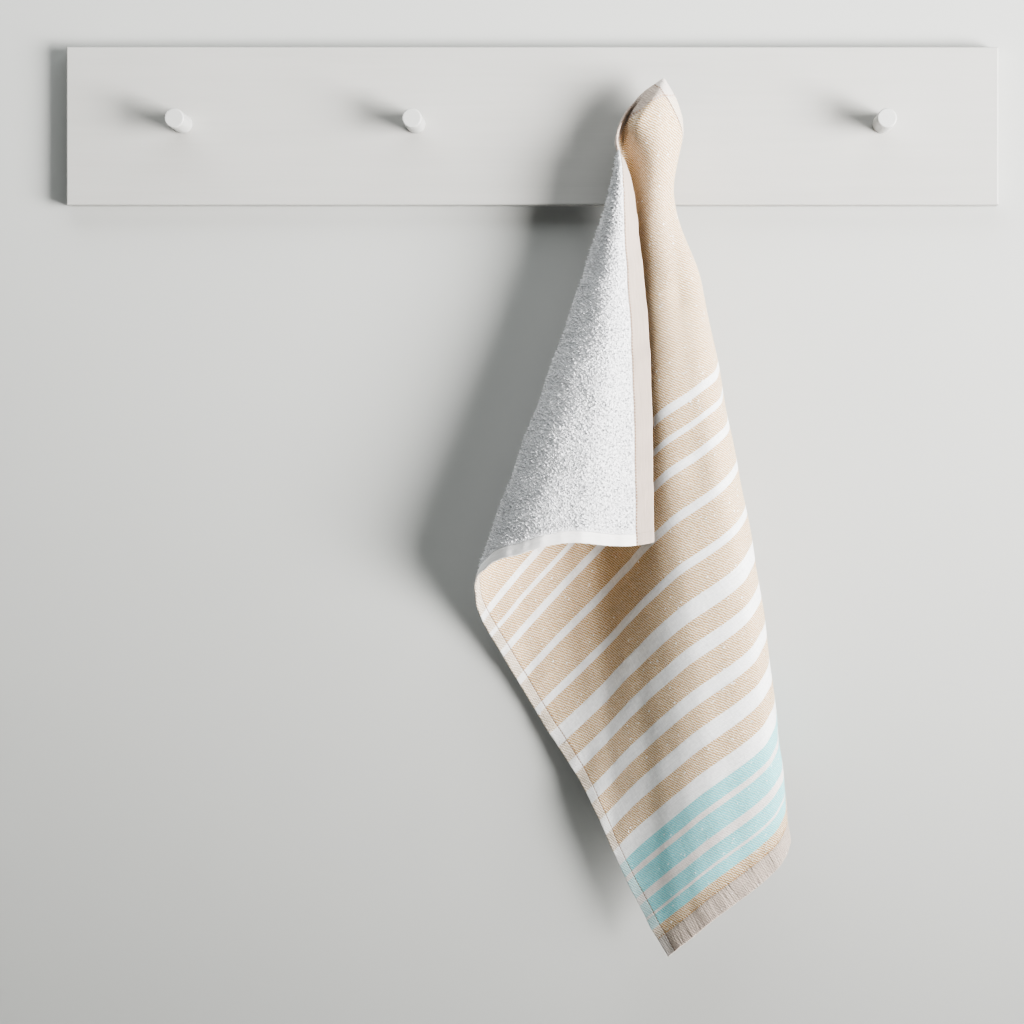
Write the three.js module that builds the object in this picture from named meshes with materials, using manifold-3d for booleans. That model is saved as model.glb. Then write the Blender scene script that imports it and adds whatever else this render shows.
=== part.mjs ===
// A hammam towel hung by one corner over a peg of a painted peg rail.
// Sizes are in millimetres and +Z is up. The rail's back lies in the plane y = 0, so the
// room is on the -Y side, and +X is to the right of someone who faces the rail.
// The origin is on the rail's back, on the axis of the peg that holds the towel.
import * as THREE from 'three';
import Module from 'manifold-3d';
import { mergeVertices } from 'three/addons/utils/BufferGeometryUtils.js';

// The peg rail: a flat board with turned pegs glued into blind sockets.
const RAIL_THICK = 20;
const RAIL_TOP = 80;
const RAIL_BOTTOM = -84;
const RAIL_EDGE_ROUND = 1.5;
const PEG_SPACING = 242;
const PEG_PLACES = { peg_far_left: -2, peg_left: -1, peg_holding: 0, peg_right: 1 };
const PEG_RADIUS = 10;
const PEG_REACH = 54;
const PEG_EDGE_ROUND = 1.5;
const TENON_RADIUS = 6;
const TENON_DEPTH = 14;
const JOINT_GAP = 0.3;
const ROUND_SIDES = 48;

// The towel: one woven cloth, flat-woven twill on its face and looped terry behind.
const TOWEL_WIDTH = 500;
const TOWEL_LENGTH = 700;
const CLOTH_THICK = 2.0;
const HEM_THICK = 2.6;
const SIDE_HEM = 12;
const END_HEM = 20;

// Hung by a corner, the weave shears: its two edges meet at less than a right angle.
const CORNER_ANGLE = 82.8;
// The corner of the cloth, standing up just past the end of the peg.
const TIP = { x: 15, y: -60, z: 42 };

// The drape is set out along straight lines drawn on the cloth from the corner. Each row
// is one such line, at its angle from the loose side edge, with where it stands in plan
// (x and y) at seven distances from the corner. The height follows from the cloth's length
// times the row's share, which is under 1 where the sheared weave is drawn in along that
// line and over 1 where it is drawn out.
const STATIONS = { crown: 30, hood: 62, throat: 86, neck: 115, waist: 220, knee: 540, foot: 860 };
const FOLDS = [
  //   where on the cloth    angle  share  crown, hood, throat, neck, waist, knee, foot
  fold('flap edge',           0.0, 0.997, [-9, -62], [-28, -66], [-33, -73], [-23, -73], [-7, -82], [6, -98], [19, -114]),
  fold('flap front',          9.5, 0.988, [-7, -65], [-26, -57], [-34, -62], [-30, -84], [-37, -94], [-77, -120], [-116, -146]),
  fold('flap left part',     16.0, 0.985, [-5, -67], [-23, -54], [-31, -54], [-32, -76], [-51, -84], [-129, -112], [-202, -140]),
  fold('turn, front',        20.5, 0.978, [-4, -70], [-21, -60], [-28, -50], [-32, -68], [-58, -72], [-156, -88], [-246, -106]),
  fold('turn, left end',     23.7, 0.985, [-1, -72], [-19, -66], [-26, -50], [-31, -60], [-61, -60], [-166, -61], [-266, -62]),
  fold('turn, back',         27.0, 1.000, [1, -74], [-16, -73], [-23, -54], [-28, -54], [-58, -47], [-158, -36], [-252, -28]),
  fold('trough, left bank',  31.0, 1.008, [3, -77], [-14, -80], [-20, -61], [-24, -50], [-48, -38], [-132, -22], [-212, -20]),
  fold('trough, bottom',     36.5, 1.008, [6, -79], [-10, -84], [-14, -70], [-17, -52], [-33, -34], [-88, -14], [-154, -12]),
  fold('trough, right bank', 42.5, 1.000, [9, -79], [-1, -85], [-6, -76], [-10, -60], [-19, -42], [-40, -26], [-69, -38]),
  fold('dark slope',         47.0, 1.000, [11, -79], [6, -85], [1, -80], [-5, -69], [-10, -57], [-12, -60], [-18, -46]),
  fold('ridge',              52.5, 1.000, [14, -78], [12, -83], [8, -81], [3, -77], [4, -77], [28, -96], [54, -86]),
  fold('right roll, front',  59.0, 1.000, [19, -75], [20, -77], [18, -77], [15, -76], [29, -85], [94, -102], [144, -92]),
  fold('right roll, end',    63.5, 1.000, [22, -72], [26, -70], [24, -69], [22, -68], [46, -77], [112, -72], [149, -62]),
  fold('right roll, back',   70.0, 1.000, [25, -68], [32, -59], [29, -56], [24, -54], [52, -55], [90, -26], [120, -20]),
  fold('back layer',         76.0, 1.000, [27, -64], [34, -49], [29, -44], [19, -42], [39, -38], [42, -16], [58, -14]),
  fold('back edge',          82.8, 1.000, [29, -60], [33, -39], [24, -34], [9, -33], [17, -32], [-2, -42], [-4, -44]),
];

// How closely the cloth is faceted, from the hanging corner outwards: up to each distance
// from the edge, so many equal cells. The hems start and end on a line of cells.
const CELLS_ACROSS = [
  { upTo: SIDE_HEM, cells: 2 },
  { upTo: 108, cells: 15 },
  { upTo: 200, cells: 9 },
  { upTo: TOWEL_WIDTH - SIDE_HEM, cells: 18 },
  { upTo: TOWEL_WIDTH, cells: 1 },
];
const CELLS_ALONG = [
  { upTo: END_HEM, cells: 3 },
  { upTo: 116, cells: 15 },
  { upTo: 220, cells: 10 },
  { upTo: TOWEL_LENGTH - END_HEM, cells: 28 },
  { upTo: TOWEL_LENGTH, cells: 1 },
];
const HEIGHT_STEPS = 240;
const STEEPEST_DROP = 0.15;
const NORMAL_REACH = 1.5;

const COLOURS = { twill: 0xe0cdb6, paint: 0xe9e7e1 };

function fold(name, angle, share, crown, hood, throat, neck, waist, knee, foot) {
  return { name, angle, share, places: { crown, hood, throat, neck, waist, knee, foot } };
}

// A smooth curve through points that are unevenly spaced: its slope at each knot is the
// mean of the slopes on both sides, the shorter side counting more.
function slopesThrough(knots, points) {
  const last = knots.length - 1;
  const chord = (i, k) => (points[i + 1][k] - points[i][k]) / (knots[i + 1] - knots[i]);
  return points.map((point, i) => point.map((_, k) => {
    if (i === 0) return chord(0, k);
    if (i === last) return chord(last - 1, k);
    const before = knots[i] - knots[i - 1];
    const after = knots[i + 1] - knots[i];
    return (chord(i - 1, k) * after + chord(i, k) * before) / (before + after);
  }));
}

function smoothThrough(knots, points, slopes, at) {
  let i = 0;
  while (i < knots.length - 2 && at >= knots[i + 1]) i += 1;
  const span = knots[i + 1] - knots[i];
  const t = (at - knots[i]) / span;
  const fromStart = 2 * t ** 3 - 3 * t ** 2 + 1;
  const startSlope = (t ** 3 - 2 * t ** 2 + t) * span;
  const endSlope = (t ** 3 - t ** 2) * span;
  return points[i].map((value, k) => fromStart * value + startSlope * slopes[i][k]
    + (1 - fromStart) * points[i + 1][k] + endSlope * slopes[i + 1][k]);
}

const foldAngles = FOLDS.map((row) => row.angle);
const stationCurves = Object.keys(STATIONS).map((station) => {
  const points = FOLDS.map((row) => row.places[station]);
  return { points, slopes: slopesThrough(foldAngles, points) };
});
const stationKnots = [0, ...Object.values(STATIONS)];
const shares = FOLDS.map((row) => [row.share]);
const shareSlopes = slopesThrough(foldAngles, shares);

// Where the point u across and v along the cloth hangs.
function clothPoint(u, v) {
  const corner = THREE.MathUtils.degToRad(CORNER_ANGLE);
  const sideways = u + v * Math.cos(corner);
  const outwards = v * Math.sin(corner);
  const reach = Math.hypot(sideways, outwards);
  const angle = THREE.MathUtils.radToDeg(Math.atan2(outwards, sideways));
  const plan = [[TIP.x, TIP.y]];
  for (const curve of stationCurves) {
    plan.push(smoothThrough(foldAngles, curve.points, curve.slopes, angle));
  }
  const slopes = slopesThrough(stationKnots, plan);
  const [share] = smoothThrough(foldAngles, shares, shareSlopes, angle);
  const step = reach / HEIGHT_STEPS;
  let [x, y] = plan[0];
  let z = TIP.z;
  for (let i = 1; i <= HEIGHT_STEPS; i += 1) {
    const [nextX, nextY] = smoothThrough(stationKnots, plan, slopes, step * i);
    const level = (nextX - x) ** 2 + (nextY - y) ** 2;
    z -= Math.sqrt(Math.max((share * step) ** 2 - level, (STEEPEST_DROP * step) ** 2));
    x = nextX;
    y = nextY;
  }
  return new THREE.Vector3(x, y, z);
}

// The direction out of the twill face.
function clothNormal(u, v) {
  const between = (value, length) => THREE.MathUtils.clamp(value, 0, length);
  const right = clothPoint(between(u + NORMAL_REACH, TOWEL_WIDTH), v);
  const left = clothPoint(between(u - NORMAL_REACH, TOWEL_WIDTH), v);
  const far = clothPoint(u, between(v + NORMAL_REACH, TOWEL_LENGTH));
  const near = clothPoint(u, between(v - NORMAL_REACH, TOWEL_LENGTH));
  return right.sub(left).cross(far.sub(near)).normalize();
}

function clothThickness(u, v) {
  const inSideHem = Math.min(u, TOWEL_WIDTH - u) <= SIDE_HEM;
  const inEndHem = Math.min(v, TOWEL_LENGTH - v) <= END_HEM;
  return inSideHem || inEndHem ? HEM_THICK : CLOTH_THICK;
}

function cellLines(spans) {
  const lines = [0];
  for (const span of spans) {
    const start = lines[lines.length - 1];
    for (let i = 1; i <= span.cells; i += 1) {
      lines.push(start + ((span.upTo - start) * i) / span.cells);
    }
  }
  return lines;
}

// The cloth as one closed body: its face, its back and the edge all round.
function towelGeometry() {
  const across = cellLines(CELLS_ACROSS);
  const along = cellLines(CELLS_ALONG);
  const columns = across.length;
  const rows = along.length;
  const positions = [];
  for (const side of [0.5, -0.5]) {
    for (const v of along) {
      for (const u of across) {
        const offset = clothNormal(u, v).multiplyScalar(side * clothThickness(u, v));
        positions.push(...clothPoint(u, v).add(offset).toArray());
      }
    }
  }
  const back = columns * rows;
  const at = (column, row) => row * columns + column;
  const triangles = [];
  for (let row = 0; row < rows - 1; row += 1) {
    for (let column = 0; column < columns - 1; column += 1) {
      const a = at(column, row);
      const b = at(column + 1, row);
      const c = at(column + 1, row + 1);
      const d = at(column, row + 1);
      triangles.push(a, b, c, a, c, d);
      triangles.push(back + a, back + c, back + b, back + a, back + d, back + c);
    }
  }
  const rim = [];
  for (let column = 0; column < columns - 1; column += 1) rim.push(at(column, 0));
  for (let row = 0; row < rows - 1; row += 1) rim.push(at(columns - 1, row));
  for (let column = columns - 1; column > 0; column -= 1) rim.push(at(column, rows - 1));
  for (let row = rows - 1; row > 0; row -= 1) rim.push(at(0, row));
  rim.forEach((p, i) => {
    const q = rim[(i + 1) % rim.length];
    triangles.push(q, p, back + p, q, back + p, back + q);
  });
  const geometry = new THREE.BufferGeometry();
  geometry.setAttribute('position', new THREE.Float32BufferAttribute(positions, 3));
  geometry.setIndex(triangles);
  geometry.computeVertexNormals();
  return geometry;
}

const wasm = await Module();
wasm.setup();

function toSolid(geometry) {
  const bare = geometry.clone();
  bare.deleteAttribute('normal');
  bare.deleteAttribute('uv');
  const merged = mergeVertices(bare.index ? bare.toNonIndexed() : bare);
  return new wasm.Manifold(new wasm.Mesh({
    numProp: 3,
    vertProperties: new Float32Array(merged.attributes.position.array),
    triVerts: new Uint32Array(merged.index.array),
  }));
}

function toGeometry(solid) {
  const mesh = solid.getMesh();
  const geometry = new THREE.BufferGeometry();
  geometry.setAttribute('position', new THREE.BufferAttribute(mesh.vertProperties, 3));
  geometry.setIndex(new THREE.BufferAttribute(mesh.triVerts, 1));
  geometry.computeVertexNormals();
  return geometry;
}

// The board, with its edges slightly rounded, running half a space past the end pegs.
function railGeometry() {
  const places = Object.values(PEG_PLACES);
  const left = (Math.min(...places) - 0.5) * PEG_SPACING + RAIL_EDGE_ROUND;
  const right = (Math.max(...places) + 0.5) * PEG_SPACING - RAIL_EDGE_ROUND;
  const top = RAIL_TOP - RAIL_EDGE_ROUND;
  const bottom = RAIL_BOTTOM + RAIL_EDGE_ROUND;
  const outline = new THREE.Shape();
  outline.moveTo(left, bottom);
  outline.lineTo(right, bottom);
  outline.lineTo(right, top);
  outline.lineTo(left, top);
  outline.closePath();
  const board = new THREE.ExtrudeGeometry(outline, {
    depth: RAIL_THICK - 2 * RAIL_EDGE_ROUND,
    bevelThickness: RAIL_EDGE_ROUND,
    bevelSize: RAIL_EDGE_ROUND,
    bevelSegments: 3,
  });
  // Drawn upright in x and z, the board's thickness runs from y = 0 to the room.
  board.rotateX(Math.PI / 2);
  board.translate(0, -RAIL_EDGE_ROUND, 0);
  let solid = toSolid(board);
  const socketDepth = TENON_DEPTH + JOINT_GAP;
  for (const place of places) {
    const length = socketDepth + RAIL_THICK;
    const socket = new THREE.CylinderGeometry(
      TENON_RADIUS + JOINT_GAP, TENON_RADIUS + JOINT_GAP, length, ROUND_SIDES);
    socket.translate(place * PEG_SPACING, -RAIL_THICK + socketDepth - length / 2, 0);
    solid = solid.subtract(toSolid(socket));
  }
  return toGeometry(solid);
}

// A peg turned about its own axis: tenon, square shoulder, shank and a softened end.
function pegGeometry() {
  const shoulder = JOINT_GAP;
  const profile = [
    [0, -TENON_DEPTH],
    [TENON_RADIUS, -TENON_DEPTH],
    [TENON_RADIUS, shoulder],
    [PEG_RADIUS, shoulder],
  ];
  const corner = PEG_RADIUS - PEG_EDGE_ROUND;
  for (const turn of [0, 30, 60, 90]) {
    const angle = THREE.MathUtils.degToRad(turn);
    profile.push([
      corner + PEG_EDGE_ROUND * Math.cos(angle),
      PEG_REACH - PEG_EDGE_ROUND + PEG_EDGE_ROUND * Math.sin(angle),
    ]);
  }
  profile.push([0, PEG_REACH]);
  const points = profile.map(([radius, out]) => new THREE.Vector2(radius, out));
  return new THREE.LatheGeometry(points, ROUND_SIDES);
}

const fabric = new THREE.MeshStandardMaterial({ color: COLOURS.twill, roughness: 0.95, metalness: 0 });
const paint = new THREE.MeshStandardMaterial({ color: COLOURS.paint, roughness: 0.45, metalness: 0 });

const towelOnRail = new THREE.Group();

const towel = new THREE.Mesh(towelGeometry(), fabric);
towel.name = 'towel';
towelOnRail.add(towel);

const rail = new THREE.Mesh(railGeometry(), paint);
rail.name = 'rail';
towelOnRail.add(rail);

for (const [name, place] of Object.entries(PEG_PLACES)) {
  const peg = new THREE.Mesh(pegGeometry(), paint);
  peg.name = name;
  peg.rotation.x = Math.PI;
  peg.position.set(place * PEG_SPACING, -RAIL_THICK, 0);
  towelOnRail.add(peg);
}

export default towelOnRail;
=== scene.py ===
# A striped hammam towel with a terry back, hung by one corner on a painted peg rail.
# The tables are in millimetres, in the frame of the solids: +Z up, -Y out to the room, and
# the origin on the rail's back, on the axis of the peg that holds the towel.
import math

import bpy
import numpy as np
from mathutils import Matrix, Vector


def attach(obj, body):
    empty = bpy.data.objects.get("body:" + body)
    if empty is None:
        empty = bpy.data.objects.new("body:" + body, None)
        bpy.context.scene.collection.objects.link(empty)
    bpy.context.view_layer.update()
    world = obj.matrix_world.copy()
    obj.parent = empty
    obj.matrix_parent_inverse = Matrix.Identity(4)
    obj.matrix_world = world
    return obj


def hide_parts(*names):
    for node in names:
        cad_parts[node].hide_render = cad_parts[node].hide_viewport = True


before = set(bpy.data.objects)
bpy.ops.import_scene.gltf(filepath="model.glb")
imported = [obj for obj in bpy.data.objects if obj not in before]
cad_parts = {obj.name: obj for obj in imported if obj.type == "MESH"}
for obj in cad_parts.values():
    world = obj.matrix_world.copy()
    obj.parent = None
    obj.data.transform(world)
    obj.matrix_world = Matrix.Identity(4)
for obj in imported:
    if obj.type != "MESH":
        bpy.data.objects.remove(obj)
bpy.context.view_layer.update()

MM = 0.001

# The cloth, flat.
WIDTH = 500.0
LENGTH = 700.0
SIDE_HEM = 12.0
END_HEM = 20.0
HALF_CLOTH = 1.0
HALF_HEM = 1.25

# The drape: where straight lines drawn on the cloth from its hanging corner stand in plan,
# at seven distances from the corner, and each line's share of its length that hangs down:
# under 1 where the weave is drawn in, over 1 where it is drawn out. The same table shapes
# the towel's solid.
CORNER_ANGLE = 82.8
TIP = (15.0, -60.0, 42.0)
STATIONS = {"crown": 30, "hood": 62, "throat": 86, "neck": 115, "waist": 220, "knee": 540,
            "foot": 860}


def fold(name, angle, share, *places):
    """A line on the cloth, with its places in plan at the stations, in their order."""
    return {"name": name, "angle": angle, "share": share, **dict(zip(STATIONS, places))}


FOLDS = [
    fold("flap edge", 0.0, 0.997,
         (-9, -62), (-28, -66), (-33, -73), (-23, -73), (-7, -82), (6, -98), (19, -114)),
    fold("flap front", 9.5, 0.988,
         (-7, -65), (-26, -57), (-34, -62), (-30, -84), (-37, -94), (-77, -120), (-116, -146)),
    fold("flap left part", 16.0, 0.985,
         (-5, -67), (-23, -54), (-31, -54), (-32, -76), (-51, -84), (-129, -112), (-202, -140)),
    fold("turn, front", 20.5, 0.978,
         (-4, -70), (-21, -60), (-28, -50), (-32, -68), (-58, -72), (-156, -88), (-246, -106)),
    fold("turn, left end", 23.7, 0.985,
         (-1, -72), (-19, -66), (-26, -50), (-31, -60), (-61, -60), (-166, -61), (-266, -62)),
    fold("turn, back", 27.0, 1.000,
         (1, -74), (-16, -73), (-23, -54), (-28, -54), (-58, -47), (-158, -36), (-252, -28)),
    fold("trough, left bank", 31.0, 1.008,
         (3, -77), (-14, -80), (-20, -61), (-24, -50), (-48, -38), (-132, -22), (-212, -20)),
    fold("trough, bottom", 36.5, 1.008,
         (6, -79), (-10, -84), (-14, -70), (-17, -52), (-33, -34), (-88, -14), (-154, -12)),
    fold("trough, right bank", 42.5, 1.000,
         (9, -79), (-1, -85), (-6, -76), (-10, -60), (-19, -42), (-40, -26), (-69, -38)),
    fold("dark slope", 47.0, 1.000,
         (11, -79), (6, -85), (1, -80), (-5, -69), (-10, -57), (-12, -60), (-18, -46)),
    fold("ridge", 52.5, 1.000,
         (14, -78), (12, -83), (8, -81), (3, -77), (4, -77), (28, -96), (54, -86)),
    fold("right roll, front", 59.0, 1.000,
         (19, -75), (20, -77), (18, -77), (15, -76), (29, -85), (94, -102), (144, -92)),
    fold("right roll, end", 63.5, 1.000,
         (22, -72), (26, -70), (24, -69), (22, -68), (46, -77), (112, -72), (149, -62)),
    fold("right roll, back", 70.0, 1.000,
         (25, -68), (32, -59), (29, -56), (24, -54), (52, -55), (90, -26), (120, -20)),
    fold("back layer", 76.0, 1.000,
         (27, -64), (34, -49), (29, -44), (19, -42), (39, -38), (42, -16), (58, -14)),
    fold("back edge", 82.8, 1.000,
         (29, -60), (33, -39), (24, -34), (9, -33), (17, -32), (-2, -42), (-4, -44)),
]

# The fan of lines that the drape is worked out on, a little longer than the cloth's diagonal.
FARTHEST = 915.0
REACH_STEPS = 915
ANGLE_STEPS = 1656
# Each step outwards goes down by at least this share of its length.
LEAST_DROP = 0.15
# The direction out of the face is taken from points this far to all four sides.
NORMAL_REACH = 1.5
SHORTEST_NORMAL = 1e-9


def slopes_through(knots, points):
    """Slopes of a smooth curve through unevenly spaced knots, along the first axis."""
    width = np.diff(knots).reshape((-1,) + (1,) * (points.ndim - 1))
    chord = np.diff(points, axis=0) / width
    slopes = np.empty_like(points)
    slopes[0], slopes[-1] = chord[0], chord[-1]
    slopes[1:-1] = (chord[:-1] * width[1:] + chord[1:] * width[:-1]) / (width[:-1] + width[1:])
    return slopes


def smooth_through(knots, points, at):
    """The curve's values at the given places."""
    knots = np.asarray(knots, float)
    slopes = slopes_through(knots, points)
    i = np.clip(np.searchsorted(knots, at, side="right") - 1, 0, len(knots) - 2)
    shape = (-1,) + (1,) * (points.ndim - 1)
    span = (knots[i + 1] - knots[i]).reshape(shape)
    t = (at - knots[i]).reshape(shape) / span
    start = 2 * t ** 3 - 3 * t ** 2 + 1
    return (start * points[i] + (t ** 3 - 2 * t ** 2 + t) * span * slopes[i]
            + (1 - start) * points[i + 1] + (t ** 3 - t ** 2) * span * slopes[i + 1])


def drape_table():
    """Points of the hanging cloth on a fan of lines from its corner: [reach, angle, xyz]."""
    angles = np.linspace(0, CORNER_ANGLE, ANGLE_STEPS + 1)
    reaches = np.linspace(0, FARTHEST, REACH_STEPS + 1)
    fold_angles = [row["angle"] for row in FOLDS]
    stations = [np.array([row[name] for row in FOLDS], float) for name in STATIONS]
    plan = [np.broadcast_to(np.array(TIP[:2]), (len(angles), 2))]
    plan += [smooth_through(fold_angles, points, angles) for points in stations]
    knots = [0.0] + list(STATIONS.values())
    level = smooth_through(knots, np.stack(plan), reaches)
    step = reaches[1] - reaches[0]
    share = smooth_through(fold_angles, np.array([row["share"] for row in FOLDS]), angles)
    run = (np.diff(level, axis=0) ** 2).sum(axis=2)
    drop = np.sqrt(np.maximum((share * step) ** 2 - run, (LEAST_DROP * step) ** 2))
    height = TIP[2] - np.concatenate([np.zeros((1, len(angles))), np.cumsum(drop, axis=0)])
    return np.concatenate([level, height[..., None]], axis=2)


DRAPE = drape_table()


def cloth_point(u, v):
    """Where points u across and v along the cloth hang, in millimetres."""
    corner = math.radians(CORNER_ANGLE)
    sideways = u + v * math.cos(corner)
    outwards = v * math.sin(corner)
    row = np.hypot(sideways, outwards) / FARTHEST * REACH_STEPS
    column = np.degrees(np.arctan2(outwards, sideways)) / CORNER_ANGLE * ANGLE_STEPS
    i = np.clip(row.astype(int), 0, REACH_STEPS - 1)
    j = np.clip(column.astype(int), 0, ANGLE_STEPS - 1)
    a = (row - i)[..., None]
    b = np.clip(column - j, 0, 1)[..., None]
    near = DRAPE[i, j] * (1 - b) + DRAPE[i, j + 1] * b
    far = DRAPE[i + 1, j] * (1 - b) + DRAPE[i + 1, j + 1] * b
    return near * (1 - a) + far * a


def cloth_normal(u, v):
    """The direction out of the twill face."""
    def across(value):
        return np.clip(value, 0, WIDTH)

    def along(value):
        return np.clip(value, 0, LENGTH)

    over = cloth_point(across(u + NORMAL_REACH), v) - cloth_point(across(u - NORMAL_REACH), v)
    down = cloth_point(u, along(v + NORMAL_REACH)) - cloth_point(u, along(v - NORMAL_REACH))
    normal = np.cross(over, down)
    length = np.linalg.norm(normal, axis=-1, keepdims=True)
    return normal / np.maximum(length, SHORTEST_NORMAL)


# Grid lines of the cloth: fine where its edge is rounded and where a hem is sewn down.
CELL = 3.0
EDGE_LINES = [0.0, 0.35, 1.0, 2.2, 4.5]
HEM_CELL = 2.5
SEAM_LINES = [-1.2, -0.4, 0.4, 1.4, 3.2]
CLEAR_OF_SEAM = 1.6


def cell_lines(length, hem):
    hem_lines = list(np.arange(EDGE_LINES[-1] + HEM_CELL, hem - CLEAR_OF_SEAM, HEM_CELL))
    start = EDGE_LINES + hem_lines + [hem + line for line in SEAM_LINES]
    middle = length - 2 * start[-1]
    cells = round(middle / CELL)
    inner = [start[-1] + middle * i / cells for i in range(1, cells)]
    return np.array(start + inner + [length - line for line in reversed(start)])


def ramp(value, low, high):
    """0 below low, 1 above high, smooth between."""
    t = np.clip((value - low) / (high - low), 0, 1)
    return t * t * (3 - 2 * t)


def to_edges(u, v):
    """Distances from the nearer side and from the nearer end of the cloth."""
    return np.minimum(u, WIDTH - u), np.minimum(v, LENGTH - v)


# Small unevenness of the hung cloth, pushed out of its face: soft ridges and dents, each
# along a line on the cloth, with its half width and height in millimetres.
def crease(name, start, end, half_width, height):
    return {"name": name, "start": start, "end": end, "half_width": half_width, "height": height}


CREASES = [
    crease("flap, dent by the free hem", (300, 24), (460, 40), 14, 1.2),
    crease("flap, soft ridge", (180, 62), (470, 95), 16, 1.0),
    crease("turn, dent under the neck", (120, 38), (210, 80), 9, 0.8),
    crease("trough, soft ridge", (330, 240), (430, 360), 22, -1.4),
    crease("lower edge, dent", (455, 380), (498, 400), 14, 1.2),
    crease("lower edge, ridge", (450, 470), (499, 490), 16, -1.2),
    crease("lower edge, second dent", (440, 560), (499, 590), 18, 1.2),
    crease("front, long dent", (120, 210), (200, 420), 13, 0.9),
    crease("front, long ridge", (90, 260), (150, 520), 12, -0.8),
    crease("foot, dent above the hem", (250, 640), (420, 655), 15, 1.0),
    crease("foot, ridge by the roll", (150, 560), (230, 690), 16, 1.2),
    crease("dent beside the ridge, high", (45, 112), (95, 200), 9, -3.0),
    crease("dent beside the ridge, low", (95, 200), (185, 350), 13, -3.2),
]

# Waves that run along each hem, and the distances from the edge over which they die out.
HEM_WAVES = [
    {"wave": 47.0, "height": 0.55, "start": 0.4},
    {"wave": 23.0, "height": 0.35, "start": 1.9},
    {"wave": 11.0, "height": 0.12, "start": 3.1},
]
SIDE_WAVES_FADE = (2, 30)
END_WAVES_FADE = (4, 34)
SOFT_WAVES = [
    {"across": 83.0, "along": 131.0, "height": 0.45, "start": 0.7},
    {"across": -57.0, "along": 96.0, "height": 0.35, "start": 2.2},
    {"across": 34.0, "along": -61.0, "height": 0.18, "start": 4.0},
]
# The cloth lies smooth near its corner, where it is pulled tight over the peg.
UNEVEN_FROM_CORNER = (70, 190)


def relief(u, v):
    """How far the cloth stands out of its smooth drape, towards its face."""
    height = np.zeros_like(u)
    for row in CREASES:
        (u0, v0), (u1, v1) = row["start"], row["end"]
        du, dv = u1 - u0, v1 - v0
        t = np.clip(((u - u0) * du + (v - v0) * dv) / (du * du + dv * dv), 0, 1)
        away = np.hypot(u - u0 - t * du, v - v0 - t * dv)
        height += row["height"] * np.exp(-(away / row["half_width"]) ** 2)
    for wave in SOFT_WAVES:
        phase = u / wave["across"] + v / wave["along"]
        height += wave["height"] * np.sin(2 * math.pi * phase + wave["start"])
    to_side, to_end = to_edges(u, v)
    by_side = 1 - ramp(to_side, *SIDE_WAVES_FADE)
    by_end = 1 - ramp(to_end, *END_WAVES_FADE)
    for wave in HEM_WAVES:
        turn = 2 * math.pi / wave["wave"]
        height += wave["height"] * np.sin(v * turn + wave["start"]) * by_side
        height += wave["height"] * np.sin(u * turn + wave["start"]) * by_end
    return height * ramp(np.hypot(u, v), *UNEVEN_FROM_CORNER)


# Thickness: hems stand out a little, are drawn in at their stitching and have round edges.
HEM_STEP_OUTER = 0.6
HEM_STEP_INNER = 1.6
STITCH_DIP = 0.35
STITCH_DIP_WIDTH = 0.9
EDGE_ROUND = 1.1
EDGE_LEAST = 0.3


def half_thickness(u, v):
    to_side, to_end = to_edges(u, v)

    def folded(away, hem):
        return 1 - ramp(away, hem - HEM_STEP_OUTER, hem + HEM_STEP_INNER)

    def stitch_dip(away, hem):
        return STITCH_DIP * np.exp(-((away - hem) / STITCH_DIP_WIDTH) ** 2)

    hem = np.maximum(folded(to_side, SIDE_HEM), folded(to_end, END_HEM))
    half = HALF_CLOTH + (HALF_HEM - HALF_CLOTH) * hem
    half = half - stitch_dip(to_side, SIDE_HEM) - stitch_dip(to_end, END_HEM)
    edge = np.clip(np.minimum(to_side, to_end) / EDGE_ROUND, 0, 1)
    return half * (EDGE_LEAST + (1 - EDGE_LEAST) * np.sqrt(1 - (1 - edge) ** 2))


def on_cloth(u, v, side):
    """Points on the cloth's face (side 1) or back (side -1), and the direction out there."""
    normal = cloth_normal(u, v)
    offset = relief(u, v) + side * half_thickness(u, v)
    return cloth_point(u, v) + normal * offset[..., None], normal * side


def new_object(name, points, faces, flat, materials):
    """A smooth mesh in metres, whose UV map is its place on the flat cloth."""
    mesh = bpy.data.meshes.new(name)
    mesh.from_pydata(points.tolist(), [], faces.tolist())
    layer = mesh.uv_layers.new(name="cloth")
    corners = np.empty(len(mesh.loops), dtype=np.int32)
    mesh.loops.foreach_get("vertex_index", corners)
    layer.data.foreach_set("uv", flat[corners].ravel().astype(np.float32))
    for material in materials:
        mesh.materials.append(material)
    mesh.polygons.foreach_set("use_smooth", np.ones(len(faces), dtype=bool))
    thing = bpy.data.objects.new(name, mesh)
    bpy.context.scene.collection.objects.link(thing)
    return thing


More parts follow.
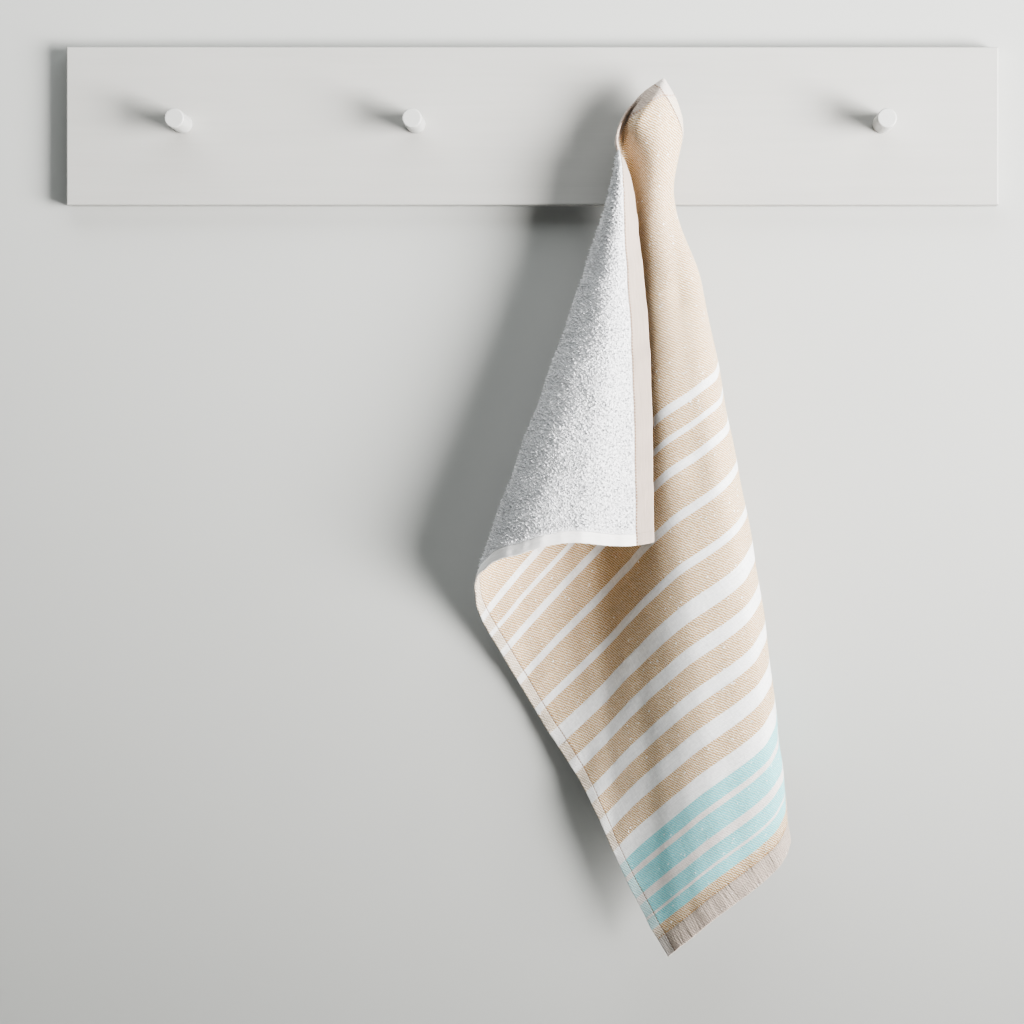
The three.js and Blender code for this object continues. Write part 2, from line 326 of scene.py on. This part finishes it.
def build_towel(face_material, back_material):
    """The cloth as one closed thin sheet: its face, its edges and its back."""
    u, v = np.meshgrid(cell_lines(WIDTH, SIDE_HEM), cell_lines(LENGTH, END_HEM), indexing="xy")
    top, _ = on_cloth(u, v, 1)
    under, _ = on_cloth(u, v, -1)
    rows, columns = u.shape
    count = rows * columns
    points = np.concatenate([top.reshape(-1, 3), under.reshape(-1, 3)]) * MM
    flat = np.tile(np.stack([u.ravel(), v.ravel()], axis=1), (2, 1)) * MM
    at = np.arange(count).reshape(rows, columns)
    a, b = at[:-1, :-1].ravel(), at[:-1, 1:].ravel()
    c, d = at[1:, 1:].ravel(), at[1:, :-1].ravel()
    face = np.stack([a, b, c, d], axis=1)
    back = np.stack([a, d, c, b], axis=1) + count
    rim = np.concatenate([at[0, :-1], at[:-1, -1], at[-1, :0:-1], at[:0:-1, 0]])
    after = np.roll(rim, -1)
    edge = np.stack([after, rim, rim + count, after + count], axis=1)
    faces = np.concatenate([face, edge, back])
    towel = new_object("towel_sheet", points, faces, flat, [face_material, back_material])
    slots = np.zeros(len(faces), dtype=np.int32)
    slots[len(face) + len(edge):] = 1
    towel.data.polygons.foreach_set("material_index", slots)
    towel.data.update()
    return towel


# The terry loops, as short leaning tufts, in rows that wander a little.
LOOP_SPACING = 2.65
LOOP_JITTER = 1.05
LOOP_RADIUS = (1.0, 1.7)
LOOP_HEIGHT = (0.9, 3.1)
LOOP_LEAN = 1.3
LOOP_SUNK = 0.25
LOOP_MARGIN = 2.8
LOOP_CORNERS = 4
LOOP_SEED = 11
# They stand in soft clumps: higher and lower by this share, in two crossing waves.
LOOP_CLUMP = 0.3
CLUMPS_ACROSS = {"turn": 0.55, "sway": 1.3, "sway_turn": 0.31}
CLUMPS_ALONG = {"turn": 0.48, "sway": 1.7, "sway_turn": 0.27}
# No loops stand between the cloth and the end of its peg.
CLEAR_OF_PEG = 112.0


def swaying_wave(value, other, turn, sway, sway_turn):
    return np.sin(value * turn + sway * np.sin(other * sway_turn))


def loop_rows(length, hem):
    return np.arange(hem + LOOP_MARGIN, length - hem - LOOP_MARGIN, LOOP_SPACING)


def build_loops(material):
    """The loops of the terry back, as one joined mesh: each is a small four-sided tuft."""
    chance = np.random.default_rng(LOOP_SEED)
    u, v = np.meshgrid(loop_rows(WIDTH, SIDE_HEM), loop_rows(LENGTH, END_HEM))
    u, v = u.ravel(), v.ravel()
    u = u + chance.uniform(-LOOP_JITTER, LOOP_JITTER, len(u))
    v = v + chance.uniform(-LOOP_JITTER, LOOP_JITTER, len(v))
    keep = np.hypot(u, v) > CLEAR_OF_PEG
    u, v = u[keep], v[keep]
    foot, out = on_cloth(u, v, -1)
    ahead = cloth_point(u + 1, v) - cloth_point(u - 1, v)
    ahead /= np.linalg.norm(ahead, axis=1, keepdims=True)
    aside = np.cross(out, ahead)
    radius = chance.uniform(*LOOP_RADIUS, len(u))[:, None]
    turn = chance.uniform(0, 2 * math.pi, len(u))[:, None]
    clump = swaying_wave(u, v, **CLUMPS_ACROSS) * swaying_wave(v, u, **CLUMPS_ALONG)
    height = (chance.uniform(*LOOP_HEIGHT, len(u)) * (1 + LOOP_CLUMP * clump))[:, None]
    lean = chance.uniform(-LOOP_LEAN, LOOP_LEAN, (2, len(u), 1))
    tip = foot + out * height + ahead * lean[0] + aside * lean[1]
    low = foot - out * LOOP_SUNK
    around = turn + np.arange(LOOP_CORNERS) * 2 * math.pi / LOOP_CORNERS
    over, up = radius * np.cos(around), radius * np.sin(around)
    ring = low[:, None] + over[..., None] * ahead[:, None] + up[..., None] * aside[:, None]
    points = np.concatenate([ring, tip[:, None]], axis=1).reshape(-1, 3) * MM
    spread = np.stack([over, up], axis=2)
    spread = np.concatenate([spread, np.zeros((len(u), 1, 2))], axis=1)
    flat = (spread + np.stack([u, v], axis=1)[:, None]).reshape(-1, 2) * MM
    first = np.arange(len(u))[:, None] * (LOOP_CORNERS + 1)
    sides = [np.concatenate([first + i, first + (i + 1) % LOOP_CORNERS, first + LOOP_CORNERS],
                            axis=1) for i in range(LOOP_CORNERS)]
    return new_object("towel_loops", points, np.concatenate(sides), flat, [material])


# Materials are built from a few short node helpers. These are the sockets that a mix node
# uses for colours.
MIX_FACTOR, MIX_A, MIX_B, MIX_COLOUR = 0, 6, 7, 2


def new_material(name):
    material = bpy.data.materials.new(name)
    material.use_nodes = True
    tree = material.node_tree
    shader = tree.nodes["Principled BSDF"]
    return material, tree, shader


def put(tree, socket, value):
    if isinstance(value, bpy.types.NodeSocket):
        tree.links.new(value, socket)
    else:
        socket.default_value = value


def calc(tree, operation, a, b=0.0):
    node = tree.nodes.new("ShaderNodeMath")
    node.operation = operation
    put(tree, node.inputs[0], a)
    put(tree, node.inputs[1], b)
    return node.outputs[0]


def times(tree, a, b):
    return calc(tree, "MULTIPLY", a, b)


def plus(tree, a, b):
    return calc(tree, "ADD", a, b)


def above(tree, least, value, share):
    """A share of the value, on top of the least one."""
    return plus(tree, times(tree, value, share), least)


def both_ways(tree, value, swing):
    """A noise of 0 to 1, made to swing evenly to both sides of 0."""
    return times(tree, calc(tree, "SUBTRACT", value, 0.5), swing)


def mixed(tree, factor, a, b):
    node = tree.nodes.new("ShaderNodeMix")
    node.data_type = "RGBA"
    put(tree, node.inputs[MIX_FACTOR], factor)
    put(tree, node.inputs[MIX_A], a)
    put(tree, node.inputs[MIX_B], b)
    return node.outputs[MIX_COLOUR]


def eased(tree, value, low, high):
    """0 at low, 1 at high, smooth between; low may be the larger."""
    node = tree.nodes.new("ShaderNodeMapRange")
    node.interpolation_type = "SMOOTHSTEP"
    put(tree, node.inputs["Value"], value)
    node.inputs["From Min"].default_value = min(low, high)
    node.inputs["From Max"].default_value = max(low, high)
    node.inputs["To Min"].default_value = 0.0 if low < high else 1.0
    node.inputs["To Max"].default_value = 1.0 if low < high else 0.0
    return node.outputs[0]


def vector(tree, x, y):
    node = tree.nodes.new("ShaderNodeCombineXYZ")
    put(tree, node.inputs[0], x)
    put(tree, node.inputs[1], y)
    return node.outputs[0]


def noise(tree, place, scale, detail=2.0, roughness=0.5):
    node = tree.nodes.new("ShaderNodeTexNoise")
    put(tree, node.inputs["Vector"], place)
    node.inputs["Scale"].default_value = scale
    node.inputs["Detail"].default_value = detail
    node.inputs["Roughness"].default_value = roughness
    return node.outputs["Fac"]


def bump(height, strength, depth):
    """A layer of fine relief; its depth is in millimetres."""
    return {"height": height, "strength": strength, "depth": depth * MM}


def bumped(tree, shader, layers):
    """Lays the layers of relief one on the other, in their order."""
    normal = None
    for layer in layers:
        node = tree.nodes.new("ShaderNodeBump")
        node.inputs["Strength"].default_value = layer["strength"]
        node.inputs["Distance"].default_value = layer["depth"]
        put(tree, node.inputs["Height"], layer["height"])
        if normal is not None:
            tree.links.new(normal, node.inputs["Normal"])
        normal = node.outputs[0]
    tree.links.new(normal, shader.inputs["Normal"])


def cloth_places(tree):
    """Sockets for the place on the flat cloth, in millimetres."""
    uv = tree.nodes.new("ShaderNodeUVMap")
    uv.uv_map = "cloth"
    split = tree.nodes.new("ShaderNodeSeparateXYZ")
    tree.links.new(uv.outputs[0], split.inputs[0])
    u = times(tree, split.outputs[0], 1 / MM)
    v = times(tree, split.outputs[1], 1 / MM)
    return {"u": u, "v": v, "both": vector(tree, u, v),
            "to_side": calc(tree, "MINIMUM", u, calc(tree, "SUBTRACT", WIDTH, u)),
            "to_end": calc(tree, "MINIMUM", v, calc(tree, "SUBTRACT", LENGTH, v))}


def stretched(tree, cloth, across, along):
    """The place on the cloth with its own scale for each direction."""
    return vector(tree, times(tree, cloth["u"], across), times(tree, cloth["v"], along))


def streaks(tree, cloth, across, along, detail=2.0, roughness=0.5):
    """Noise that is drawn out along or across the cloth."""
    place = stretched(tree, cloth, across, along)
    return noise(tree, place, scale=1.0, detail=detail, roughness=roughness)


# Yarn colours, linear, and how strongly the paler warp shows as ribs on each.
YARNS = {
    "hem": ((0.49, 0.405, 0.355), 0.25),
    "beige": ((0.53, 0.33, 0.14), 1.0),
    "white": ((0.80, 0.80, 0.80), 0.0),
    "turquoise": ((0.20, 0.60, 0.65), 0.45),
    "pale": ((0.74, 0.69, 0.68), 0.3),
}
# Each stripe runs from where the one before it ends to this distance along the cloth.
STRIPES = [
    ("hem", 20.0), ("beige", 277.2), ("white", 284.8), ("beige", 301.2), ("white", 308.8),
    ("beige", 326.2), ("white", 333.8), ("beige", 366.2), ("white", 373.8), ("beige", 407.2),
    ("white", 414.8), ("beige", 440.0), ("white", 454.0), ("beige", 474.0), ("white", 488.0),
    ("beige", 510.0), ("white", 524.0), ("beige", 544.0), ("white", 558.0), ("beige", 579.0),
    ("white", 594.3), ("turquoise", 607.7), ("pale", 615.0), ("turquoise", 634.0),
    ("pale", 640.8), ("turquoise", 654.2), ("pale", 657.3), ("turquoise", 669.0),
    ("beige", 680.0), ("hem", 700.0),
]
# How far a stripe's edge wanders along the cloth, in all.
STRIPE_WANDER = 1.3


def stripes(tree, cloth):
    """Yarn colour and rib strength along the cloth."""
    wander = both_ways(tree, streaks(tree, cloth, across=1.3, along=0.25), STRIPE_WANDER)
    node = tree.nodes.new("ShaderNodeValToRGB")
    put(tree, node.inputs[0], calc(tree, "DIVIDE", plus(tree, cloth["v"], wander), LENGTH))
    stops = node.color_ramp
    stops.interpolation = "CONSTANT"
    while len(stops.elements) > 1:
        stops.elements.remove(stops.elements[-1])
    start = 0.0
    for i, (yarn, end) in enumerate(STRIPES):
        stop = stops.elements[0] if i == 0 else stops.elements.new(start / LENGTH)
        colour, ribs = YARNS[yarn]
        stop.position = start / LENGTH
        stop.color = (*colour, ribs)
        start = end
    return node.outputs["Color"], node.outputs["Alpha"]


# The twill: a pale warp floats over the coloured weft in diagonal ribs. The warp threads
# and the unevenness of the yarn break the ribs up.
RIB_PITCH = 2.3
RIB_LEAN = (0.84, 0.543)
RIB_SHAKE = 1.5
WARP_PITCH = 2.1
WARP_BREAKS = 0.42
YARN_BREAKS = 2.0
RIB_EDGES = (-1.0, 1.05)
RIB_SHOWN = 0.76
WARP_PALE = (0.92, 0.855, 0.755, 1.0)


def twill_ribs(tree, cloth):
    """1 where the warp lies on top, 0 where the weft does."""
    lean = plus(tree, times(tree, cloth["u"], RIB_LEAN[0]), times(tree, cloth["v"], RIB_LEAN[1]))
    shake = both_ways(tree, noise(tree, cloth["both"], scale=0.35, detail=1.0), RIB_SHAKE)
    wave = calc(tree, "SINE", times(tree, plus(tree, lean, shake), 2 * math.pi / RIB_PITCH))
    warp = calc(tree, "SINE", times(tree, cloth["u"], 2 * math.pi / WARP_PITCH))
    yarn = streaks(tree, cloth, across=0.9, along=0.35, roughness=0.6)
    floats = plus(tree, wave, times(tree, warp, WARP_BREAKS))
    floats = plus(tree, floats, both_ways(tree, yarn, YARN_BREAKS))
    return eased(tree, floats, *RIB_EDGES)


# Slubs: short thick white places in the weave, in loose groups, strongest on the ribs.
SLUBS_PER_MM = (0.10, 0.17)
SLUB_EDGES = (0.17, 0.09)
SLUB_GROUPS = (0.40, 0.56)
SLUB_ON_PLAIN = 0.3
SLUB_BY_RIBS = 0.7
SLUB_WHITE = (0.96, 0.96, 0.94, 1.0)


def slubs(tree, cloth, rib_strength):
    cells = tree.nodes.new("ShaderNodeTexVoronoi")
    put(tree, cells.inputs["Vector"], stretched(tree, cloth, *SLUBS_PER_MM))
    cells.inputs["Scale"].default_value = 1.0
    speck = eased(tree, cells.outputs["Distance"], *SLUB_EDGES)
    group = eased(tree, noise(tree, cloth["both"], scale=0.11, detail=1.0), *SLUB_GROUPS)
    strength = above(tree, SLUB_ON_PLAIN, rib_strength, SLUB_BY_RIBS)
    return times(tree, times(tree, speck, group), strength)


# Threads vary a little in tone, along both directions of the weave and in small patches.
TONE_LEAST = 0.68
TONE_OF_WEFT = 0.22
TONE_OF_WARP = 0.18
TONE_OF_PATCHES = 0.26


def thread_tone(tree, cloth):
    weft = streaks(tree, cloth, across=0.02, along=0.9, detail=1.0)
    warp = streaks(tree, cloth, across=0.8, along=0.012, detail=1.0)
    patches = noise(tree, cloth["both"], scale=0.28, detail=1.0, roughness=0.6)
    tone = above(tree, times(tree, weft, TONE_OF_WEFT), warp, TONE_OF_WARP)
    return plus(tree, above(tree, tone, patches, TONE_OF_PATCHES), TONE_LEAST)


def toned(tree, colour, tone):
    node = tree.nodes.new("ShaderNodeVectorMath")
    node.operation = "SCALE"
    tree.links.new(colour, node.inputs[0])
    tree.links.new(tone, node.inputs["Scale"])
    return node.outputs[0]


# Stitching: dark thread, and light brown on the face of the end hems. A gap is where the
# sine along the row falls under the given value, so that a lower value makes longer stitches.
STITCH_LENGTH = 3.2
STITCH_EDGES = (0.85, 0.35)
STITCH_FADE = 0.2
THREAD = (0.20, 0.115, 0.065, 1.0)
THREAD_LIGHT = (0.44, 0.23, 0.10, 1.0)


def stitches(tree, away, hem, along, gap):
    """A row of stitches: 1 on the thread, where away is the distance from the edge."""
    off = calc(tree, "ABSOLUTE", calc(tree, "SUBTRACT", away, hem))
    line = eased(tree, off, *STITCH_EDGES)
    turn = calc(tree, "SINE", times(tree, along, 2 * math.pi / STITCH_LENGTH))
    return times(tree, line, eased(tree, turn, gap - STITCH_FADE, gap + STITCH_FADE))


def within(tree, away, hem, outside, inside):
    """1 on a hem, 0 off it, with a soft step that starts outside it and ends inside it."""
    return eased(tree, away, hem + outside, hem - inside)


# How much of the cloth's own colour the side hem's paleness and the threads cover.
SIDE_HEM_PALE = (0.74, 0.72, 0.70, 1.0)
SIDE_HEM_COVER = 0.45
SIDE_ROW_COVER = 0.85
END_ROW_COVER = 0.7
BACK_ROW_COVER = 0.9
# The relief of the ribs, on plain cloth and added where the ribs are strong.
RIB_RISE_LEAST = 0.2
RIB_RISE_BY_RIBS = 0.75


def face_material():
    """The twill face: stripes across the cloth, pale diagonal ribs, slubs and hems."""
    material, tree, shader = new_material("towel_twill")
    cloth = cloth_places(tree)
    to_side, to_end = cloth["to_side"], cloth["to_end"]
    yarn, rib_strength = stripes(tree, cloth)
    rib = twill_ribs(tree, cloth)
    speck = slubs(tree, cloth, rib_strength)
    shown = times(tree, times(tree, rib, rib_strength), RIB_SHOWN)
    colour = mixed(tree, shown, yarn, WARP_PALE)
    colour = mixed(tree, speck, colour, SLUB_WHITE)
    colour = toned(tree, colour, thread_tone(tree, cloth))
    # Side hems are folded double and paler.
    in_side = within(tree, to_side, SIDE_HEM, outside=0.3, inside=0.3)
    colour = mixed(tree, times(tree, in_side, SIDE_HEM_COVER), colour, SIDE_HEM_PALE)
    side_row = stitches(tree, to_side, SIDE_HEM, cloth["v"], gap=-0.9)
    end_row = stitches(tree, to_end, END_HEM, cloth["u"], gap=-0.3)
    colour = mixed(tree, times(tree, side_row, SIDE_ROW_COVER), colour, THREAD)
    colour = mixed(tree, times(tree, end_row, END_ROW_COVER), colour, THREAD_LIGHT)
    put(tree, shader.inputs["Base Color"], colour)
    shader.inputs["Roughness"].default_value = 0.88
    shader.inputs["Specular IOR Level"].default_value = 0.25
    shader.inputs["Sheen Weight"].default_value = 0.25
    shader.inputs["Sheen Roughness"].default_value = 0.5
    # Relief: puckers that run in from the hems' edges, the ribs, yarn, slubs and stitches.
    pucker = streaks(tree, cloth, across=0.42, along=0.035, roughness=0.6)
    by_end = within(tree, to_end, END_HEM, outside=7.0, inside=3.0)
    side_pucker = streaks(tree, cloth, across=0.05, along=0.30)
    by_side = within(tree, to_side, SIDE_HEM, outside=5.0, inside=2.0)
    rib_rise = above(tree, RIB_RISE_LEAST, rib_strength, RIB_RISE_BY_RIBS)
    yarn_height = noise(tree, cloth["both"], scale=0.8, roughness=0.7)
    rows = calc(tree, "MAXIMUM", side_row, end_row)
    bumped(tree, shader, [
        bump(times(tree, pucker, by_end), strength=0.9, depth=2.6),
        bump(times(tree, side_pucker, by_side), strength=0.5, depth=1.0),
        bump(times(tree, rib, rib_rise), strength=0.9, depth=0.7),
        bump(yarn_height, strength=0.7, depth=0.6),
        bump(speck, strength=0.8, depth=0.8),
        bump(rows, strength=-0.6, depth=0.3),
    ])
    return material


# Colours of the back, each from its darker to its lighter yarns. On the terry the darker white
# is painted shade: it lies where the pile's relief is low, in the hollows between the loops.
TERRY_WHITE_AND_PILE_SHADE = ((0.72, 0.72, 0.745, 1.0), (0.87, 0.87, 0.885, 1.0))
END_HEM_BROWN = ((0.40, 0.33, 0.28, 1.0), (0.54, 0.46, 0.41, 1.0))
SIDE_HEM_WHITE = ((0.78, 0.76, 0.75, 1.0), (0.86, 0.85, 0.84, 1.0))
# Where the terry turns from the painted shade of the pile's hollows to its full white.
TERRY_PILE_SHADE_EDGES = (0.25, 0.7)
# The back's row of stitches lies this much nearer to the end than the face's.
BACK_ROW_SHIFT = 0.9
# The fine relief, on the hems and added on the terry.
FINE_RISE_LEAST = 0.2
FINE_RISE_ON_TERRY = 0.8


def back_material():
    """The terry back: white loops, with plain hems turned over from the face."""
    material, tree, shader = new_material("towel_terry")
    cloth = cloth_places(tree)
    loops = noise(tree, cloth["both"], scale=0.42, roughness=0.62)
    fine = noise(tree, cloth["both"], scale=1.2, detail=1.0, roughness=0.6)
    # Painted shade: the terry is darker where the same noise sets the pile's relief low, in the
    # hollows between the loops.
    terry_colour_and_pile_shade = mixed(tree, eased(tree, loops, *TERRY_PILE_SHADE_EDGES), *TERRY_WHITE_AND_PILE_SHADE)
    side_yarn = streaks(tree, cloth, across=0.5, along=0.12)
    side_colour = mixed(tree, side_yarn, *SIDE_HEM_WHITE)
    # End hems show the face cloth, turned over and ribbed along the edge.
    end_ribs = streaks(tree, cloth, across=0.03, along=1.1)
    end_colour = mixed(tree, end_ribs, *END_HEM_BROWN)
    in_side = within(tree, cloth["to_side"], SIDE_HEM, outside=0.4, inside=0.4)
    in_end = within(tree, cloth["to_end"], END_HEM, outside=0.4, inside=0.4)
    colour = mixed(tree, in_side, terry_colour_and_pile_shade, side_colour)
    colour = mixed(tree, in_end, colour, end_colour)
    # The end hem's stitching is brown; the side hem's is white and only draws the cloth in.
    rows = stitches(tree, cloth["to_end"], END_HEM - BACK_ROW_SHIFT, cloth["u"], gap=-0.2)
    colour = mixed(tree, times(tree, rows, BACK_ROW_COVER), colour, THREAD)
    put(tree, shader.inputs["Base Color"], colour)
    shader.inputs["Roughness"].default_value = 0.95
    shader.inputs["Specular IOR Level"].default_value = 0.15
    shader.inputs["Sheen Weight"].default_value = 0.35
    shader.inputs["Sheen Roughness"].default_value = 0.6
    # Relief: puckers on the hems, and the pile between the loops.
    in_terry = calc(tree, "SUBTRACT", 1.0, calc(tree, "MAXIMUM", in_end, in_side))
    end_pucker = streaks(tree, cloth, across=0.06, along=0.35)
    side_pucker = streaks(tree, cloth, across=0.22, along=0.06)
    fine_rise = above(tree, FINE_RISE_LEAST, in_terry, FINE_RISE_ON_TERRY)
    bumped(tree, shader, [
        bump(times(tree, side_pucker, in_side), strength=0.7, depth=1.5),
        bump(times(tree, end_pucker, in_end), strength=0.4, depth=0.8),
        bump(times(tree, loops, in_terry), strength=1.0, depth=2.6),
        bump(times(tree, fine, fine_rise), strength=0.8, depth=0.8),
    ])
    return material


# Paint: faint grain shows under it, long in the board's direction, with uneven patches.
GRAIN_STRETCH = (2.5, 60.0, 60.0)
GRAIN_SHARE = 0.5
PATCH_SHARE = 0.5
PAINT_EDGES = (0.3, 0.7)
PAINT_DARK = 0.955
PAINT_ROUGHNESS_SWING = 0.16
WALL_DARK = 0.97


def object_place(tree):
    return tree.nodes.new("ShaderNodeTexCoord").outputs["Object"]


def shades(colour, dark_share):
    """A paint's darker and its full colour, for a mix."""
    return tuple(dark_share * part for part in colour) + (1.0,), tuple(colour) + (1.0,)


def paint_material(name, colour, roughness):
    """Satin paint on wood."""
    material, tree, shader = new_material(name)
    coords = object_place(tree)
    stretch = tree.nodes.new("ShaderNodeMapping")
    stretch.inputs["Scale"].default_value = GRAIN_STRETCH
    tree.links.new(coords, stretch.inputs["Vector"])
    grain = noise(tree, stretch.outputs[0], scale=3.0, detail=3.0, roughness=0.6)
    patches = noise(tree, coords, scale=6.0, detail=3.0)
    uneven = above(tree, times(tree, grain, GRAIN_SHARE), patches, PATCH_SHARE)
    paint = mixed(tree, eased(tree, uneven, *PAINT_EDGES), *shades(colour, PAINT_DARK))
    put(tree, shader.inputs["Base Color"], paint)
    least_rough = roughness - PAINT_ROUGHNESS_SWING / 2
    put(tree, shader.inputs["Roughness"], above(tree, least_rough, grain, PAINT_ROUGHNESS_SWING))
    shader.inputs["Specular IOR Level"].default_value = 0.45
    bumped(tree, shader, [bump(grain, strength=0.25, depth=0.6)])
    return material


def stage_material(name, colour, from_front):
    """Matt paint. With from_front, the view goes through it from behind."""
    material, tree, shader = new_material(name)
    patches = noise(tree, object_place(tree), scale=5.0, roughness=0.55)
    put(tree, shader.inputs["Base Color"], mixed(tree, patches, *shades(colour, WALL_DARK)))
    shader.inputs["Roughness"].default_value = 0.75
    shader.inputs["Specular IOR Level"].default_value = 0.3
    if from_front:
        clear = tree.nodes.new("ShaderNodeBsdfTransparent")
        side = tree.nodes.new("ShaderNodeNewGeometry")
        choose = tree.nodes.new("ShaderNodeMixShader")
        tree.links.new(side.outputs["Backfacing"], choose.inputs[0])
        tree.links.new(shader.outputs[0], choose.inputs[1])
        tree.links.new(clear.outputs[0], choose.inputs[2])
        tree.links.new(choose.outputs[0], tree.nodes["Material Output"].inputs["Surface"])
    return material


def stage_plane(name, corners, material):
    mesh = bpy.data.meshes.new(name)
    mesh.from_pydata(corners, [], [(0, 1, 2, 3)])
    mesh.materials.append(material)
    plane = bpy.data.objects.new(name, mesh)
    bpy.context.scene.collection.objects.link(plane)
    return plane


# The towel stands for its solid.
terry = back_material()
towel = build_towel(face_material(), terry)
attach(towel, "root")
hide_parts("towel")
loops = build_loops(terry)
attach(loops, "root")

# The rail and the pegs keep their solids, painted.
RAIL_WHITE = (0.46, 0.455, 0.44)
PEG_WHITE = (0.54, 0.54, 0.53)
rail_paint = paint_material("rail_paint", RAIL_WHITE, roughness=0.42)
peg_paint = paint_material("peg_paint", PEG_WHITE, roughness=0.35)
for name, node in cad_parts.items():
    if name == "towel":
        continue
    node.data.materials.clear()
    node.data.materials.append(rail_paint if name == "rail" else peg_paint)

# A plain wall behind, seen only from the room's side, and a plain pale floor far below, in
# metres.
WALL_Y = 0.0015
WALL_TOP = 3.0
FLOOR_Z = -1.45
STAGE_REACH = 6.0
WALL_GREY = (0.46, 0.465, 0.455)
FLOOR_GREY = (0.62, 0.62, 0.60)
wall = stage_plane("stage_wall", [(-STAGE_REACH, WALL_Y, FLOOR_Z),
                                  (STAGE_REACH, WALL_Y, FLOOR_Z),
                                  (STAGE_REACH, WALL_Y, WALL_TOP),
                                  (-STAGE_REACH, WALL_Y, WALL_TOP)],
                   stage_material("stage_wall", WALL_GREY, from_front=True))
# It stops no light either, so that a weak lamp behind it can light the part's back.
wall.visible_shadow = False
stage_plane("stage_floor", [(-STAGE_REACH, -STAGE_REACH, FLOOR_Z),
                            (STAGE_REACH, -STAGE_REACH, FLOOR_Z),
                            (STAGE_REACH, STAGE_REACH, FLOOR_Z),
                            (-STAGE_REACH, STAGE_REACH, FLOOR_Z)],
            stage_material("stage_floor", FLOOR_GREY, from_front=False))


def area_light(name, aim, azimuth, elevation, distance, size, power, colour, faces, spread):
    """A lamp placed at angles and a distance, in metres, from aim, and turned to faces."""
    data = bpy.data.lights.new(name, "AREA")
    data.shape = "RECTANGLE"
    data.size, data.size_y = size
    data.energy = power
    data.color = colour
    data.spread = math.radians(spread)
    light = bpy.data.objects.new(name, data)
    bpy.context.scene.collection.objects.link(light)
    a, e = math.radians(azimuth), math.radians(elevation)
    out = Vector((math.sin(a) * math.cos(e), -math.cos(a) * math.cos(e), math.sin(e)))
    light.location = Vector(aim) + out * distance
    light.rotation_mode = "QUATERNION"
    light.rotation_quaternion = (Vector(faces) - light.location).to_track_quat("-Z", "Y")


# Light: a soft window from the right, level with the towel; a wide fill from above that
# throws the soft shadow under the board; a weak lamp behind the wall, for the part's back;
# and an even, dim room.
TOWEL_MIDDLE = (-0.05, -0.05, -0.35)
RAIL_MIDDLE = (0.0, 0.0, -0.1)
BESIDE_TOWEL = (0.2, 0.0, 0.15)
area_light("window", aim=TOWEL_MIDDLE, azimuth=54, elevation=-5, distance=3.4,
           size=(1.9, 2.1), power=68, colour=(1.0, 0.985, 0.965), faces=BESIDE_TOWEL, spread=60)
area_light("ceiling", aim=RAIL_MIDDLE, azimuth=-12, elevation=57, distance=1.7,
           size=(2.6, 1.2), power=27, colour=(0.97, 1.0, 1.0), faces=RAIL_MIDDLE, spread=180)
area_light("back", aim=TOWEL_MIDDLE, azimuth=205, elevation=20, distance=3.0,
           size=(2.0, 2.0), power=34, colour=(1.0, 1.0, 1.0), faces=TOWEL_MIDDLE, spread=180)
ROOM_COLOUR = (0.96, 1.0, 0.99, 1.0)
ROOM_STRENGTH = 0.10
world = bpy.data.worlds.new("room")
world.use_nodes = True
world.node_tree.nodes["Background"].inputs["Color"].default_value = ROOM_COLOUR
world.node_tree.nodes["Background"].inputs["Strength"].default_value = ROOM_STRENGTH
bpy.context.scene.world = world

# The camera looks straight at the wall from 2.7 m; the photograph's frame is cut off centre.
CAMERA_PLACE = (-24.9, -2720.0, -309.5)
FOCAL_PIXELS = 2600.0
FRAME_PIXELS = 1024.0
AXIS_PIXEL = (625.0, 422.0)
SENSOR = 36.0
camera_data = bpy.data.cameras.new("camera")
camera_data.sensor_width = SENSOR
camera_data.lens = FOCAL_PIXELS / FRAME_PIXELS * SENSOR
camera_data.shift_x = (FRAME_PIXELS / 2 - AXIS_PIXEL[0]) / FRAME_PIXELS
camera_data.shift_y = (AXIS_PIXEL[1] - FRAME_PIXELS / 2) / FRAME_PIXELS
camera = bpy.data.objects.new("camera", camera_data)
camera.location = Vector(CAMERA_PLACE) * MM
camera.rotation_euler = (math.pi / 2, 0, 0)
bpy.context.scene.collection.objects.link(camera)
bpy.context.scene.camera = camera
bpy.context.scene.view_settings.view_transform = "AgX"
bpy.context.scene.view_settings.look = "AgX - High Contrast"
